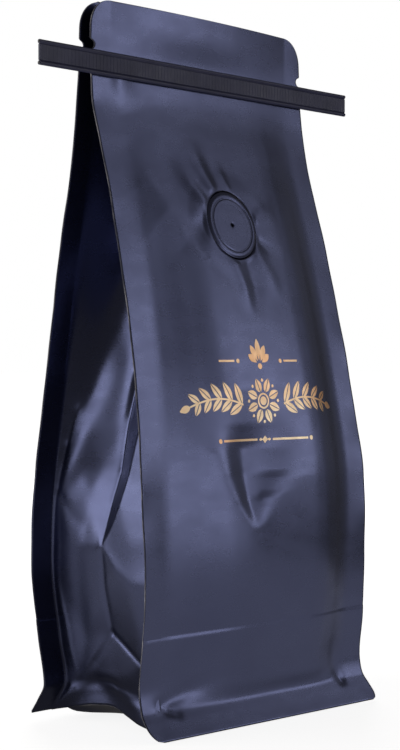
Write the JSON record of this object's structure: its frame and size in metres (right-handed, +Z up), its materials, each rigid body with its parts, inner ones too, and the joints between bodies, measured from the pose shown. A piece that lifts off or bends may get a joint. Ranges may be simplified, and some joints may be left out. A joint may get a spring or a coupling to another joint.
{
  "type": "coffee bag",
  "caption": "Shut flat-bottom coffee bag of dark satin film with side gussets, sealed corner fins, a tin tie across the top and a degassing valve.",
  "frame": {"origin": "middle of the flat of the base, on the ground", "axes": "+Z up along the bag's height, -Y out of the front panel, X along the front panel's width at the foot"},
  "size_m": [0.1604, 0.0666, 0.2392],
  "materials": {
    "film": "satin dark navy laminated film",
    "tie": "satin near-black ribbed plastic over two wires",
    "foil": "hot-stamped copper-gold foil"
  },
  "bodies": {
    "root": {"bag": "film", "tin_tie": "tie", "valve": "film"}
  },
  "joints": []
}
